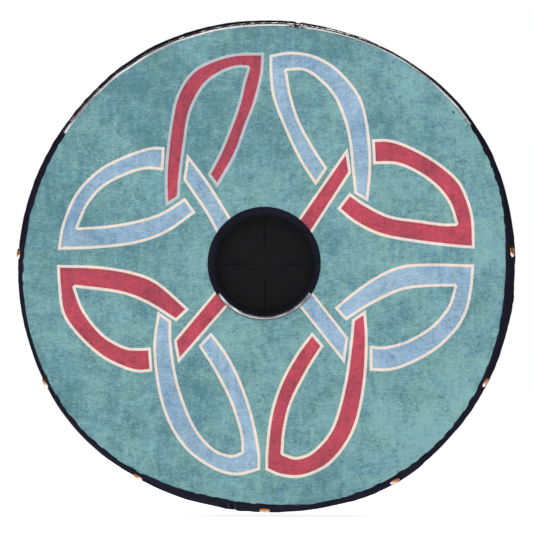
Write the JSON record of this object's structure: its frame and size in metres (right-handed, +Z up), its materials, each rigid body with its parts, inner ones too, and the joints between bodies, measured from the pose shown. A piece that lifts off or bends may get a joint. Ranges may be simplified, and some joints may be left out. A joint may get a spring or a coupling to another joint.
{
  "type": "spare wheel cover",
  "caption": "Slip-on round fabric cover for a spare wheel: printed face with a recessed camera port, bulging side wall with drain eyelets and an elastic hem at the back.",
  "frame": {"origin": "on the wheel's axis, in the plane of the cover's inner face that the tyre's side rests on", "axes": "+Y along the wheel's axis, out through the open back; the printed face looks along -Y; +Z up as worn on the vehicle; +X to the right as the face is seen"},
  "size_m": [0.8004, 0.2603, 0.7996],
  "materials": {
    "printed_canvas": "matt printed canvas",
    "fleece": "brushed fleece",
    "tape": "woven tape",
    "leathercloth": "satin coated cloth with a fine grain",
    "elastic": "woven elastic",
    "eyelet_brass": "polished, lightly aged",
    "hoop_plastic": "moulded",
    "port_cloth": "matt stretch cloth"
  },
  "bodies": {
    "cover": {"face_panel": "printed_canvas", "face_backing": "fleece", "face_seam_binding": "tape", "side_wall_left": "leathercloth", "side_wall_right": "leathercloth", "top_seam_tape": "tape", "bottom_seam_tape": "tape", "hem_binding": "tape", "hem_elastic": "elastic", "eyelet_01": "eyelet_brass", "eyelet_02": "eyelet_brass", "eyelet_03": "eyelet_brass", "eyelet_04": "eyelet_brass", "eyelet_05": "eyelet_brass", "eyelet_06": "eyelet_brass", "eyelet_07": "eyelet_brass", "eyelet_washer_01": "eyelet_brass", "eyelet_washer_02": "eyelet_brass", "eyelet_washer_03": "eyelet_brass", "eyelet_washer_04": "eyelet_brass", "eyelet_washer_05": "eyelet_brass", "eyelet_washer_06": "eyelet_brass", "eyelet_washer_07": "eyelet_brass", "port_lip": "leathercloth", "port_hoop": "hoop_plastic", "port_binding": "tape", "port_cloth": "port_cloth"},
    "flap_upper_right": {"port_flap_upper_right": "port_cloth"},
    "flap_upper_left": {"port_flap_upper_left": "port_cloth"},
    "flap_lower_left": {"port_flap_lower_left": "port_cloth"},
    "flap_lower_right": {"port_flap_lower_right": "port_cloth"}
  },
  "joints": [
    {"name": "flap_upper_right_fold", "type": "hinge", "parent": "cover", "child": "flap_upper_right", "pos_m": [0.036, 0.01922, 0.036], "axis": [-0.7071, 0, 0.7071], "range_deg": [-75, 75], "stiffness_Nm_per_rad": 0.02},
    {"name": "flap_upper_left_fold", "type": "hinge", "parent": "cover", "child": "flap_upper_left", "pos_m": [-0.036, 0.01922, 0.036], "axis": [-0.7071, 0, -0.7071], "range_deg": [-75, 75], "stiffness_Nm_per_rad": 0.02},
    {"name": "flap_lower_left_fold", "type": "hinge", "parent": "cover", "child": "flap_lower_left", "pos_m": [-0.036, 0.01922, -0.036], "axis": [0.7071, 0, -0.7071], "range_deg": [-75, 75], "stiffness_Nm_per_rad": 0.02},
    {"name": "flap_lower_right_fold", "type": "hinge", "parent": "cover", "child": "flap_lower_right", "pos_m": [0.036, 0.01922, -0.036], "axis": [0.7071, 0, 0.7071], "range_deg": [-75, 75], "stiffness_Nm_per_rad": 0.02}
  ]
}
